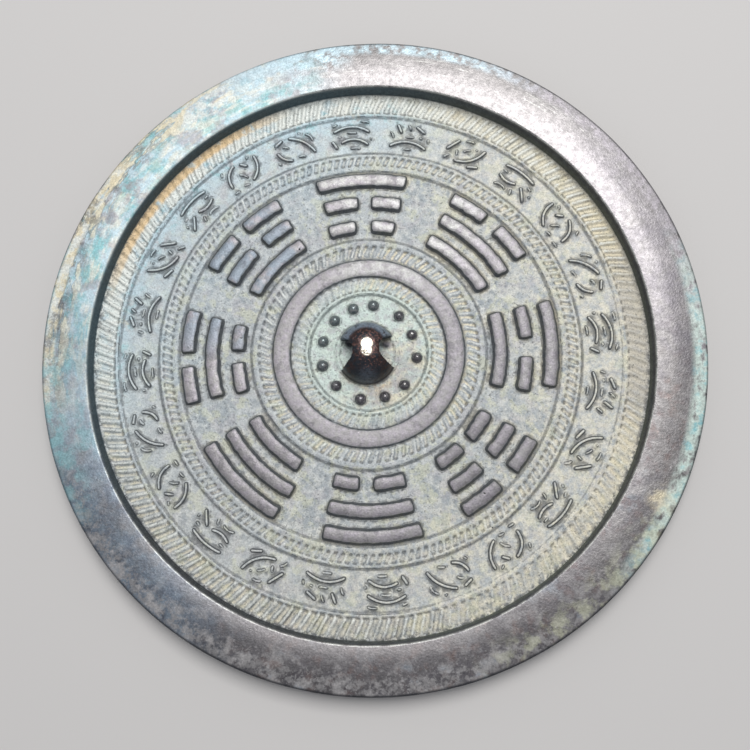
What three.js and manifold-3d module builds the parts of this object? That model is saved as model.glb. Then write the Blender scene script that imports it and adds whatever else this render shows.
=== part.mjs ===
// Old cast bronze mirror, lying on its flat reflecting face with the ornament up.
// One casting: a thin plate with a raised rim, line rings, a band of slanted comb teeth,
// eight groups of bars, a ring of shallow strokes, small bosses and a pierced knob.
// Millimetres, +Z up. The origin is the centre of the reflecting face.

import * as THREE from 'three';
import { mergeVertices } from 'three/addons/utils/BufferGeometryUtils.js';
import Module from 'manifold-3d';

// Plate and rim
const discDiameter = 150;
const plateThickness = 1.9;
const rimWidth = 10.6;
const rimHeight = 6.1;
const rimInnerEdgeDrop = 0.35;
const rimWallLean = 0.4;
const rimCornerRadius = 1.3;
const faceChamfer = 0.7;

// Relief, as heights above the plate
const reliefRoot = 0.5;
const lineHeight = 0.35;
const lineWidth = 0.9;
const doubleLineWidth = 1.3;
const toothHeight = 0.34;
const toothLean = THREE.MathUtils.degToRad(21);
const toothShare = 0.86;
const broadRingHeight = 0.9;
const barHeight = 1.0;
const barDraft = 0.42;
const splitGap = 3.4;
const strokeHeight = 0.34;
const strokeWidth = 0.8;
const strokeDraft = 0.22;

// Knob, its cord hole and the bosses
const knobDiameter = 13.4;
const knobHeight = 6.8;
const knobTurn = THREE.MathUtils.degToRad(3);
const cordHoleWidth = 5.8;
const cordHoleHeight = 5.05;
const mouthWidening = 0.024;
const mouthRaising = 0.12;
const cutClearance = 1;
const bossDiameter = 2.4;
const bossHeight = 1.25;
const bossCount = 12;
const firstBossAngle = 20;

// Radii of the carving are written for a field of this radius, and spread with the real field
const carvedFieldRadius = 64;
const discRadius = discDiameter / 2;
const fieldRadius = discRadius - rimWidth - rimWallLean;
const spread = fieldRadius / carvedFieldRadius;

const singleLines = [58.8, 48.4, 14.2];
const doubleLines = [45.0, 26.3];
const broadRing = { inner: 17.8, outer: 22.4 };
const comb = { inner: 59.7, outer: 63.4, teeth: 192 };
const bossCircle = 11.1;
// How many degrees each boss strays from its even place
const bossWander = [2, 0, 4, -1, -3, -3, -3, -3, 1, 0, -3, 3];

// The eight groups of three bars, each from its outer bar to its inner one
const barRows = [
  { inner: 40.3, outer: 43.6 },
  { inner: 34.7, outer: 37.9 },
  { inner: 28.7, outer: 31.9 },
];
const barSpan = THREE.MathUtils.degToRad(30.6);
const barGroups = [
  { angle: 0.8, bars: ['whole', 'split', 'whole'] },
  { angle: 46.0, bars: ['split', 'whole', 'whole'] },
  { angle: 92.5, bars: ['whole', 'split', 'split'] },
  { angle: 136.3, bars: ['split', 'split', 'whole'] },
  { angle: 182.0, bars: ['split', 'whole', 'split'] },
  { angle: 225.7, bars: ['whole', 'whole', 'whole'] },
  { angle: 271.2, bars: ['whole', 'whole', 'split'] },
  { angle: 316.2, bars: ['split', 'split', 'split'] },
];

// The ring of strokes: groups of dashes and bent strokes side by side, none of them a letter.
// A stroke runs from one point to another, in mm from the middle of its place,
// X along the ring and Y outwards, and bends sideways by its bow. Every second round is mirrored.
const strokeRadius = 53.6;
const strokePlaces = 24;
const firstPlaceAngle = THREE.MathUtils.degToRad(4.5);
const strokeSets = [
  [[-4.4, 0.6, 4.2, 1.2, 1.5], [-3.9, -2.6, 2.6, -1.6, 1.2], [3.5, -3.0, 4.7, -1.0, 0]],
  [[-4.5, -2.6, 0.9, 2.9, 0.9], [1.3, -2.8, 4.4, 0.2, -0.7], [2.4, 2.9, 4.5, 1.9, 0]],
  [[-4.5, 2.6, -1.2, -2.8, -1.1], [0.9, 3.0, 4.2, -1.8, 1.1], [-1.9, 1.0, -0.5, 2.6, 0]],
  [[-4.5, 2.3, 3.8, 2.5, 0.7], [-4.3, -0.2, 0.4, 0.0, -0.7], [1.8, 0.1, 4.4, -2.7, 0]],
  [[4.4, 2.6, -1.8, -2.6, 1.3], [-4.5, -0.6, -2.3, 2.8, 0], [1.8, -2.9, 4.4, -1.9, 0]],
  [[-4.4, -2.8, 4.4, -2.5, 1.5], [-3.2, 3.1, -1.9, 0.9, 0], [1.3, 3.1, 3.7, 1.6, 0]],
];

// How finely the round forms are faceted
const discSegments = 80;
const wideRingSegments = 64;
const narrowRingSegments = 40;
const knobSegments = 32;
const knobRings = 6;
const bossSegments = 8;
const cornerSteps = 2;
const wholeBarSegments = 3;
const splitBarSegments = 1;
const mostStrokeSteps = 3;
const holeSteps = 8;
const archSegments = 6;

// Corners closer than this are one corner
const weldDistance = 1e-5;
const bronze = new THREE.MeshStandardMaterial({ color: 0x6b716c, roughness: 0.5, metalness: 0.7 });

// Turns a section drawn in X and Y, extruded along Z, to stand across X with its Y up
const alongX = new THREE.Matrix4().makeBasis(
  new THREE.Vector3(0, 1, 0),
  new THREE.Vector3(0, 0, 1),
  new THREE.Vector3(1, 0, 0),
);

const wasm = await Module();
wasm.setup();

// A closed geometry as a solid: shared corners merged, and the flat triangles at a lathe's axis left out
function toSolid(geometry) {
  geometry.deleteAttribute('normal');
  geometry.deleteAttribute('uv');
  const merged = mergeVertices(geometry, weldDistance);
  const corners = merged.index.array;
  const kept = [];
  for (let i = 0; i < corners.length; i += 3) {
    const [a, b, c] = corners.slice(i, i + 3);
    if (a !== b && b !== c && c !== a) kept.push(a, b, c);
  }
  const vertProperties = Float32Array.from(merged.attributes.position.array);
  const triVerts = Uint32Array.from(kept);
  return new wasm.Manifold(new wasm.Mesh({ numProp: 3, vertProperties, triVerts }));
}

// A profile of [radius, height] pairs turned about the Z axis
function turned(profile, segments) {
  const points = profile.map(([radius, height]) => new THREE.Vector2(radius, height));
  return new THREE.LatheGeometry(points, segments).rotateX(Math.PI / 2);
}

// Points on a quarter of an ellipse, from the side [centreRadius + across, base] to the top
function quarterRound(centreRadius, base, across, up, steps) {
  const points = [];
  for (let i = 0; i <= steps; i++) {
    const angle = (i / steps) * Math.PI / 2;
    points.push([centreRadius + across * Math.cos(angle), base + up * Math.sin(angle)]);
  }
  return points;
}

// Plate and rim in one profile, from the middle of the reflecting face round to the middle of the field
function plateSolid() {
  const cornerCentre = discRadius - rimCornerRadius;
  const shoulder = rimHeight - rimInnerEdgeDrop;
  const profile = [
    [0, 0],
    [discRadius - faceChamfer, 0],
    [discRadius, faceChamfer],
    ...quarterRound(cornerCentre, shoulder - rimCornerRadius, rimCornerRadius, rimCornerRadius, cornerSteps),
    [discRadius - rimWidth / 2, rimHeight],
    [discRadius - rimWidth, shoulder],
    [fieldRadius, plateThickness],
    [0, plateThickness],
  ];
  return toSolid(turned(profile, discSegments));
}

// A thin raised line all the way round
function lineSolid(radius, width, segments) {
  const low = plateThickness - reliefRoot;
  const profile = [
    [radius - width / 2, low],
    [radius + width / 2, low],
    [radius + width / 2, plateThickness],
    [radius, plateThickness + lineHeight],
    [radius - width / 2, plateThickness],
    [radius - width / 2, low],
  ];
  return toSolid(turned(profile, segments));
}

function broadRingSolid() {
  const inner = broadRing.inner * spread;
  const outer = broadRing.outer * spread;
  const middle = (inner + outer) / 2;
  const halfWidth = (outer - inner) / 2;
  const low = plateThickness - reliefRoot;
  const outerHalf = quarterRound(middle, plateThickness, halfWidth, broadRingHeight, cornerSteps);
  const innerHalf = quarterRound(middle, plateThickness, -halfWidth, broadRingHeight, cornerSteps).reverse();
  const profile = [[inner, low], [outer, low], ...outerHalf, ...innerHalf.slice(1), [inner, low]];
  return toSolid(turned(profile, narrowRingSegments));
}

// Teeth as small roofs across the comb band, all slanted one way
function combSolids() {
  const inner = comb.inner * spread;
  const outer = comb.outer * spread;
  const middle = (inner + outer) / 2;
  const pitch = 2 * Math.PI * middle / comb.teeth;
  const length = (outer - inner) / Math.cos(toothLean);
  const root = -toothHeight / 2;
  const halfWidth = pitch * toothShare / 2 * (toothHeight - root) / toothHeight;
  const section = new THREE.Shape();
  section.moveTo(-halfWidth, root);
  section.lineTo(halfWidth, root);
  section.lineTo(0, toothHeight);
  section.closePath();
  const solids = [];
  for (let i = 0; i < comb.teeth; i++) {
    const tooth = new THREE.ExtrudeGeometry(section, { depth: length, bevelEnabled: false });
    tooth.translate(0, 0, -length / 2).applyMatrix4(alongX).rotateZ(-toothLean);
    tooth.translate(middle, 0, plateThickness).rotateZ(2 * Math.PI * i / comb.teeth);
    solids.push(toSolid(tooth));
  }
  return solids;
}

// An outline raised from the plate: full size at the plate, smaller by the draft all round at the top
function raisedSolid(topOutline, height, draft, curveSegments) {
  const raised = new THREE.ExtrudeGeometry(topOutline, {
    depth: reliefRoot,
    curveSegments,
    bevelSegments: 1,
    bevelSize: draft,
    bevelThickness: height,
  });
  const position = raised.attributes.position;
  for (let i = 0; i < position.count; i++) {
    position.setZ(i, Math.max(position.getZ(i), 0));
  }
  return toSolid(raised.translate(0, 0, plateThickness - reliefRoot));
}

function barSolid(row, from, to, curveSegments) {
  const inner = row.inner * spread + barDraft;
  const outer = row.outer * spread - barDraft;
  const inset = barDraft / ((inner + outer) / 2);
  const outline = new THREE.Shape();
  outline.absarc(0, 0, outer, from + inset, to - inset, false);
  outline.absarc(0, 0, inner, to - inset, from + inset, true);
  outline.closePath();
  return raisedSolid(outline, barHeight, barDraft, curveSegments);
}

function barGroupSolids(group) {
  const middle = THREE.MathUtils.degToRad(group.angle);
  const solids = [];
  barRows.forEach((row, index) => {
    const from = middle - barSpan / 2;
    const to = middle + barSpan / 2;
    if (group.bars[index] === 'whole') {
      solids.push(barSolid(row, from, to, wholeBarSegments));
      return;
    }
    const halfGap = splitGap / ((row.inner + row.outer) * spread);
    solids.push(barSolid(row, from, middle - halfGap, splitBarSegments));
    solids.push(barSolid(row, middle + halfGap, to, splitBarSegments));
  });
  return solids;
}

// The top outline of one stroke, turned to its place on the ring
function strokeOutline([x0, y0, x1, y1, bow], placeAngle) {
  const along = new THREE.Vector2(x1 - x0, y1 - y0).normalize();
  const side = new THREE.Vector2(-along.y, along.x);
  const halfWidth = strokeWidth / 2 - strokeDraft;
  const start = new THREE.Vector2(x0, y0);
  const end = new THREE.Vector2(x1, y1);
  const steps = Math.min(1 + Math.ceil(Math.abs(bow)), mostStrokeSteps);
  const line = [];
  for (let i = 0; i <= steps; i++) {
    const share = i / steps;
    line.push(start.clone().lerp(end, share).addScaledVector(side, 4 * bow * share * (1 - share)));
  }
  const left = line.map((point) => point.clone().addScaledVector(side, halfWidth));
  const right = line.map((point) => point.clone().addScaledVector(side, -halfWidth));
  const corners = [...right, ...left.reverse()];
  const origin = new THREE.Vector2();
  const place = new THREE.Vector2(0, strokeRadius);
  return new THREE.Shape(corners.map((corner) => {
    return corner.add(place).multiplyScalar(spread).rotateAround(origin, placeAngle - Math.PI / 2);
  }));
}

function mirrored([x0, y0, x1, y1, bow]) {
  return [-x0, y0, -x1, y1, -bow];
}

function strokeSolids() {
  const solids = [];
  for (let i = 0; i < strokePlaces; i++) {
    const placeAngle = firstPlaceAngle + (i / strokePlaces) * 2 * Math.PI;
    const isMirrored = Math.floor(i / strokeSets.length) % 2 === 1;
    for (const stroke of strokeSets[i % strokeSets.length]) {
      const outline = strokeOutline(isMirrored ? mirrored(stroke) : stroke, placeAngle);
      solids.push(raisedSolid(outline, strokeHeight, strokeDraft, 1));
    }
  }
  return solids;
}

// A dome standing on the plate, with a root in it
function domeGeometry(radius, height, segments, rings) {
  const profile = [[0, -reliefRoot], [radius, -reliefRoot], ...quarterRound(0, 0, radius, height, rings)];
  profile[profile.length - 1][0] = 0;
  return turned(profile, segments).translate(0, 0, plateThickness);
}

function bossSolids() {
  const solids = [];
  for (let i = 0; i < bossCount; i++) {
    const wander = bossWander[i % bossWander.length];
    const angle = THREE.MathUtils.degToRad(firstBossAngle + wander) + (i / bossCount) * 2 * Math.PI;
    const boss = domeGeometry(bossDiameter / 2, bossHeight, bossSegments, cornerSteps);
    const reach = bossCircle * spread;
    solids.push(toSolid(boss.translate(reach * Math.cos(angle), reach * Math.sin(angle), 0)));
  }
  return solids;
}

// The cord hole: an arch drawn along X, wider and higher towards its two mouths
function cordHoleGeometry() {
  const halfWidth = cordHoleWidth / 2;
  const springing = cordHoleHeight - halfWidth;
  const reach = knobDiameter / 2 + cutClearance;
  const low = -reliefRoot - cutClearance;
  const arch = new THREE.Shape();
  arch.moveTo(-halfWidth, low);
  arch.lineTo(halfWidth, low);
  arch.absarc(0, springing, halfWidth, 0, Math.PI, false);
  arch.closePath();
  const hole = new THREE.ExtrudeGeometry(arch, {
    depth: 2 * reach,
    steps: holeSteps,
    curveSegments: archSegments,
    bevelEnabled: false,
  });
  hole.translate(0, 0, -reach).applyMatrix4(alongX);
  const position = hole.attributes.position;
  for (let i = 0; i < position.count; i++) {
    const along = position.getX(i);
    position.setY(i, position.getY(i) * (1 + mouthWidening * along ** 2 / halfWidth));
    position.setZ(i, position.getZ(i) * (1 + mouthRaising * along ** 2 / cordHoleHeight));
  }
  return hole.translate(0, 0, plateThickness);
}

function knobSolid() {
  const knob = domeGeometry(knobDiameter / 2, knobHeight, knobSegments, knobRings).rotateZ(knobTurn);
  return toSolid(knob).subtract(toSolid(cordHoleGeometry().rotateZ(knobTurn)));
}

function mirrorSolid() {
  const relief = [
    ...singleLines.map((radius) => {
      const segments = radius > doubleLines[0] ? wideRingSegments : narrowRingSegments;
      return lineSolid(radius * spread, lineWidth, segments);
    }),
    lineSolid(doubleLines[0] * spread, doubleLineWidth, wideRingSegments),
    lineSolid(doubleLines[1] * spread, doubleLineWidth, narrowRingSegments),
    broadRingSolid(),
    ...combSolids(),
    ...barGroups.flatMap(barGroupSolids),
    ...strokeSolids(),
    ...bossSolids(),
    knobSolid(),
  ];
  return relief.reduce((whole, piece) => whole.add(piece), plateSolid());
}

function toGeometry(solid) {
  const mesh = solid.getMesh();
  const geometry = new THREE.BufferGeometry();
  geometry.setAttribute('position', new THREE.BufferAttribute(mesh.vertProperties, 3));
  geometry.setIndex(new THREE.BufferAttribute(mesh.triVerts, 1));
  geometry.computeVertexNormals();
  return geometry;
}

const mirror = new THREE.Mesh(toGeometry(mirrorSolid()), bronze);
mirror.name = 'mirror';

const object = new THREE.Group();
object.add(mirror);

export default object;
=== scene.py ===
import math
import random

import bpy
import numpy as np
from mathutils import Matrix, Vector


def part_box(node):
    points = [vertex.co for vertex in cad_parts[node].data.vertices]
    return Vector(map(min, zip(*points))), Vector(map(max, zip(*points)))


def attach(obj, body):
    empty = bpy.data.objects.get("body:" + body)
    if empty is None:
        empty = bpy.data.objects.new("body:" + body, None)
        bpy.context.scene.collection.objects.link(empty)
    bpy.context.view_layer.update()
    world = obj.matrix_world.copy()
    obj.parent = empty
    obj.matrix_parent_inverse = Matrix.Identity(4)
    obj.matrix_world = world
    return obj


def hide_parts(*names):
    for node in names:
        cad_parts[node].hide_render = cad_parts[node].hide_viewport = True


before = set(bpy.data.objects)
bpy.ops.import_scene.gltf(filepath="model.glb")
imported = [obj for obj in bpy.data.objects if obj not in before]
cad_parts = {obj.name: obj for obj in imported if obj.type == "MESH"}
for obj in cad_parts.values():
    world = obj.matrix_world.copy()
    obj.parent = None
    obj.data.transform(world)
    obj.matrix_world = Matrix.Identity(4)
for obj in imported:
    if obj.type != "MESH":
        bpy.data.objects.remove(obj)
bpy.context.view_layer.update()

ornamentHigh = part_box("mirror")[1]

# The mirror is modelled in millimetres and brought to metres at the end.
millimetre = 0.001
weldDistance = 0.0005         # points closer than this, in mm, become one
random.seed(7)


def freshStart():
    if bpy.context.object and bpy.context.object.mode != "OBJECT":
        bpy.ops.object.mode_set(mode="OBJECT")
    bpy.ops.object.select_all(action="DESELECT")


def pick(*pieces):
    freshStart()
    for piece in pieces:
        piece.select_set(True)
    bpy.context.view_layer.objects.active = pieces[0]


def joinAll(name, pieces):
    pick(*pieces)
    bpy.ops.object.join()
    joined = bpy.context.object
    joined.name = name
    return joined


def ownCopy(piece):
    copied = piece.copy()
    copied.data = piece.data.copy()
    bpy.context.collection.objects.link(copied)
    return copied


def applyPlace(piece):
    pick(piece)
    bpy.ops.object.transform_apply(location=True, rotation=True, scale=True)


def setDown(piece, location=(0, 0, 0), turn=0.0, scale=(1, 1, 1)):
    # scaled, turned about Z by degrees and moved, all in the mesh
    piece.location = location
    piece.rotation_euler = (0, 0, math.radians(turn))
    piece.scale = scale
    applyPlace(piece)


def selectPoints(piece, wanted):
    # edit mode, with the points selected whose place is wanted
    pick(piece)
    bpy.ops.object.mode_set(mode="EDIT")
    bpy.ops.mesh.select_mode(type="VERT")
    bpy.ops.mesh.select_all(action="DESELECT")
    bpy.ops.object.mode_set(mode="OBJECT")
    for point in piece.data.vertices:
        point.select = wanted(point.co)
    bpy.ops.object.mode_set(mode="EDIT")


def finishWith(piece, kind, **settings):
    pick(piece)
    modifier = piece.modifiers.new(kind.title(), kind)
    for name, value in settings.items():
        setattr(modifier, name, value)
    bpy.ops.object.modifier_apply(modifier=modifier.name)


def closeSurface(piece):
    pick(piece)
    bpy.ops.object.mode_set(mode="EDIT")
    bpy.ops.mesh.select_all(action="SELECT")
    bpy.ops.mesh.remove_doubles(threshold=weldDistance)
    bpy.ops.mesh.normals_make_consistent(inside=False)
    bpy.ops.object.mode_set(mode="OBJECT")


def drawOutline(name, points):
    # a chain of points in the XZ plane, left selected in edit mode
    freshStart()
    bpy.ops.mesh.primitive_plane_add(size=1)
    drawn = bpy.context.object
    drawn.name = name
    bpy.ops.object.mode_set(mode="EDIT")
    bpy.ops.mesh.merge(type="CENTER")
    bpy.ops.transform.translate(value=(points[0][0], 0, points[0][1]))
    for (x0, z0), (x1, z1) in zip(points, points[1:]):
        bpy.ops.mesh.extrude_region_move(TRANSFORM_OT_translate={"value": (x1 - x0, 0, z1 - z0)})
    bpy.ops.mesh.select_all(action="SELECT")
    return drawn


def turnOutline(name, points, steps):
    drawn = drawOutline(name, points)
    bpy.ops.mesh.spin(steps=steps, angle=2 * math.pi, center=(0, 0, 0), axis=(0, 0, 1))
    closeSurface(drawn)
    return drawn


def arcPoints(centreX, centreZ, radius, fromDegrees, toDegrees, steps):
    angles = [math.radians(fromDegrees + (toDegrees - fromDegrees) * i / steps) for i in range(steps + 1)]
    return [(centreX + radius * math.cos(a), centreZ + radius * math.sin(a)) for a in angles]


# Plate and rim, as one turned shell; the relief disc sits in it
disc = {
    "radius": ornamentHigh[0] / millimetre,
    "field": 1.9,             # height of the field above the reflecting face
    "rimWidth": 10.6,
    "rimTop": 6.1,
    "rimDrop": 0.3,           # how much lower the rim's two edges are than its crown
    "outerRounding": 0.8,
    "innerRounding": 0.45,
    "faceRounding": 0.7,
    "wallLean": 0.4,
    "bottom": 1.2,            # how far down the hollow that holds the relief disc reaches
    "crownSteps": 14,
    "steps": 420,
    "edgeWidth": 4.5,         # the outermost part of the rim, which follows the cast outline:
    "swell": 0.55,            # this much larger than the turned one,
    "shift": (0.54, 0.46),    # with its middle this far to the upper right
    "dents": 0.10,            # depth of the casting's unevenness
    "dentSize": 9.0,
}


def makeShell():
    radius = disc["radius"]
    shoulder = disc["rimTop"] - disc["rimDrop"]
    rimInner = radius - disc["rimWidth"]
    outer, inner, face = disc["outerRounding"], disc["innerRounding"], disc["faceRounding"]
    # the rim's crown is a shallow arch between its two rounded corners
    crown = []
    span = (radius - outer) - (rimInner + inner)
    for i in range(1, disc["crownSteps"]):
        across = 1 - 2 * i / disc["crownSteps"]
        crown.append((rimInner + inner + span * (1 + across) / 2,
                      shoulder + disc["rimDrop"] * (1 - across * across)))
    foot, bottom = rimInner - disc["wallLean"], disc["bottom"]
    outline = [(0, 0), (radius * 0.35, 0), (radius * 0.7, 0), (radius * 0.9, 0)]
    outline += arcPoints(radius - face, face, face, -90, 0, 4)
    outline += [(radius, disc["rimTop"] * 0.35), (radius, disc["rimTop"] * 0.55)]
    outline += arcPoints(radius - outer, shoulder - outer, outer, 0, 90, 7)
    outline += crown
    outline += arcPoints(rimInner + inner, shoulder - inner, inner, 90, 175, 4)
    outline += [(foot + 0.25, disc["field"] + 2.4), (foot + 0.1, disc["field"] + 1.0), (foot, disc["field"]),
                (foot, bottom), (foot / 2, bottom), (0, bottom)]
    shell = turnOutline("shell", outline, disc["steps"])
    selectPoints(shell, lambda place: place.xy.length > radius - disc["edgeWidth"])
    grown = 1 + disc["swell"] / radius
    bpy.ops.transform.resize(value=(grown, grown, 1), center_override=(0, 0, 0))
    bpy.ops.transform.translate(value=(*disc["shift"], 0))
    bpy.ops.object.mode_set(mode="OBJECT")
    clouds = bpy.data.textures.new("castingDents", "CLOUDS")
    clouds.noise_scale = disc["dentSize"]
    finishWith(shell, "DISPLACE", texture=clouds, strength=disc["dents"], mid_level=0.5)
    print("shell: turned and dented")
    return shell


# Lines and the broad ring round the middle
rings = {
    "lines": [58.8, 48.4, 45.35, 44.65, 26.65, 25.95, 14.2],
    "lineWidth": 0.62,
    "lineHeight": 0.52,
    "fillet": (64.3, 0.8, 0.55),     # radius, width and height of the soft corner at the wall's foot
    "broadInner": 17.8,
    "broadOuter": 22.4,
    "broadHeight": 0.9,
    "broadShape": (3.2, 2.2),        # powers of its crown's curve
    "broadSteps": 6,
    "root": 0.6,                     # how far it goes down into the field
}


def makeRings():
    made = []
    hoops = [(radius, rings["lineWidth"] / 2, rings["lineHeight"]) for radius in rings["lines"]]
    for radius, halfWidth, height in hoops + [rings["fillet"]]:
        freshStart()
        bpy.ops.mesh.primitive_torus_add(major_radius=radius, minor_radius=halfWidth, major_segments=300,
                                         minor_segments=12)
        line = bpy.context.object
        setDown(line, (0, 0, disc["field"]), scale=(1, 1, height / halfWidth))
        made.append(line)
    inner, outer, low = rings["broadInner"], rings["broadOuter"], disc["field"] - rings["root"]
    flat, steep = rings["broadShape"]
    middle = (inner + outer) / 2
    half = (outer - inner) / 2
    outline = [(inner, low), (outer, low)]
    for i in range(2 * rings["broadSteps"] + 1):
        across = 1 - i / rings["broadSteps"]
        rise = (1 - abs(across) ** flat) ** (1 / steep)
        outline.append((middle + half * across, disc["field"] + rings["broadHeight"] * rise))
    outline.append((inner, low))
    made.append(turnOutline("broadRing", outline, 200))
    return made


# Comb bands: one slanted tooth, repeated round the middle
combs = {
    # inner and outer radius, teeth, height
    "bands": [
        (59.5, 63.8, 192, 0.5),
        (45.8, 47.9, 172, 0.4),
        (22.95, 25.55, 84, 0.4),
        (14.75, 17.4, 60, 0.24),
    ],
    "lean": 21,               # degrees from straight outwards
    "share": 0.6,             # of the pitch that a tooth takes up
    "unevenness": 0.08,
    "root": 0.3,
}


def makeComb(inner, outer, teeth, height, seed):
    middle = (inner + outer) / 2
    lean = math.radians(combs["lean"])
    half = math.pi * middle / teeth * combs["share"]
    length = (outer - inner) / math.cos(lean)
    root = -combs["root"]
    section = [(-half, root), (half, root), (half * 0.85, height * 0.35), (half * 0.4, height),
               (-half * 0.4, height), (-half * 0.85, height * 0.35), (-half, root)]
    tooth = drawOutline("tooth", section)
    bpy.ops.mesh.remove_doubles(threshold=weldDistance)
    bpy.ops.mesh.edge_face_add()
    bpy.ops.mesh.extrude_region_move(TRANSFORM_OT_translate={"value": (0, length, 0)})
    closeSurface(tooth)
    setDown(tooth, (0, -length / 2, 0))
    setDown(tooth, (middle, 0, disc["field"]), turn=-90 - combs["lean"])
    bpy.ops.object.empty_add(location=(0, 0, 0), rotation=(0, 0, 2 * math.pi / teeth))
    turner = bpy.context.object
    finishWith(tooth, "ARRAY", count=teeth, use_relative_offset=False, use_object_offset=True,
               offset_object=turner)
    bpy.data.objects.remove(turner)
    pick(tooth)
    bpy.ops.object.mode_set(mode="EDIT")
    bpy.ops.mesh.select_all(action="SELECT")
    bpy.ops.transform.vertex_random(offset=combs["unevenness"], uniform=1, normal=0, seed=seed)
    bpy.ops.object.mode_set(mode="OBJECT")
    return tooth


# The eight groups of three bars. Each bar is the degrees that it runs between, outer bar first;
# a split bar has two pairs.
bars = {
    "rows": [(40.15, 43.75), (34.5, 38.0), (28.5, 32.0)],
    "height": 1.2,
    "root": 0.6,
    "voxel": 0.3,
    "rounding": 10,           # smoothing passes that round the corners
    "raggedness": 0.5,
    "ragSizes": (1.5, 1.7),   # along X and along Y
    "groups": [
        [[(-11.5, 15.8)], [(-14.8, -2.2), (4.4, 16.4)], [(-16.0, 17.0)]],
        [[(31.8, 44.0), (49.2, 61.8)], [(30.0, 61.8)], [(28.6, 62.2)]],
        [[(77.8, 107.0)], [(77.8, 88.8), (93.7, 106.8)], [(78.3, 88.8), (95.5, 107.8)]],
        [[(120.5, 134.4), (138.6, 151.2)], [(120.7, 133.0), (138.0, 152.6)], [(120.5, 152.5)]],
        [[(166.2, 180.0), (184.5, 196.5)], [(167.0, 196.8)], [(167.5, 179.0), (184.5, 198.0)]],
        [[(210.5, 241.0)], [(210.0, 242.0)], [(210.3, 239.6)]],
        [[(256.2, 286.5)], [(255.7, 286.0)], [(255.2, 266.5), (272.5, 286.0)]],
        [[(300.4, 314.0), (320.0, 331.2)], [(300.7, 313.7), (319.2, 332.0)],
         [(301.0, 313.5), (318.8, 331.8)]],
    ],
}


def makeBar(inner, outer, start, end):
    field, height = disc["field"], bars["height"]
    middle = (inner + outer) / 2
    half = (outer - inner) / 2
    profile = [(1.0, -bars["root"] / height), (1.0, 0.1), (0.93, 0.55), (0.72, 0.9), (0.35, 1.0)]
    outline = [(middle + half * x, field + height * z) for x, z in profile]
    outline += [(middle - half * x, field + height * z) for x, z in reversed(profile)]
    outline.append(outline[0])
    bar = drawOutline("bar", outline)
    bpy.ops.mesh.remove_doubles(threshold=weldDistance)
    bpy.ops.mesh.edge_face_add()
    steps = max(4, round((end - start) * 0.8))
    bpy.ops.mesh.spin(steps=steps, angle=math.radians(end - start), center=(0, 0, 0), axis=(0, 0, -1))
    bpy.ops.mesh.select_all(action="SELECT")
    bpy.ops.mesh.remove_doubles(threshold=weldDistance)
    bpy.ops.mesh.select_all(action="DESELECT")
    bpy.ops.mesh.select_non_manifold()
    bpy.ops.mesh.edge_face_add()
    closeSurface(bar)
    setDown(bar, turn=start)
    return bar


def makeBars():
    made = []
    for group in bars["groups"]:
        for (inner, outer), pieces in zip(bars["rows"], group):
            made += [makeBar(inner, outer, start, end) for start, end in pieces]
    cast = joinAll("bars", made)
    finishWith(cast, "REMESH", mode="VOXEL", voxel_size=bars["voxel"])
    finishWith(cast, "SMOOTH", factor=0.5, iterations=bars["rounding"])
    for side, size in zip("XY", bars["ragSizes"]):
        finishWith(cast, "DISPLACE", texture=cloudTexture("ragged" + side, size), direction=side,
                   strength=bars["raggedness"], mid_level=0.5)
    return [cast]


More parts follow.
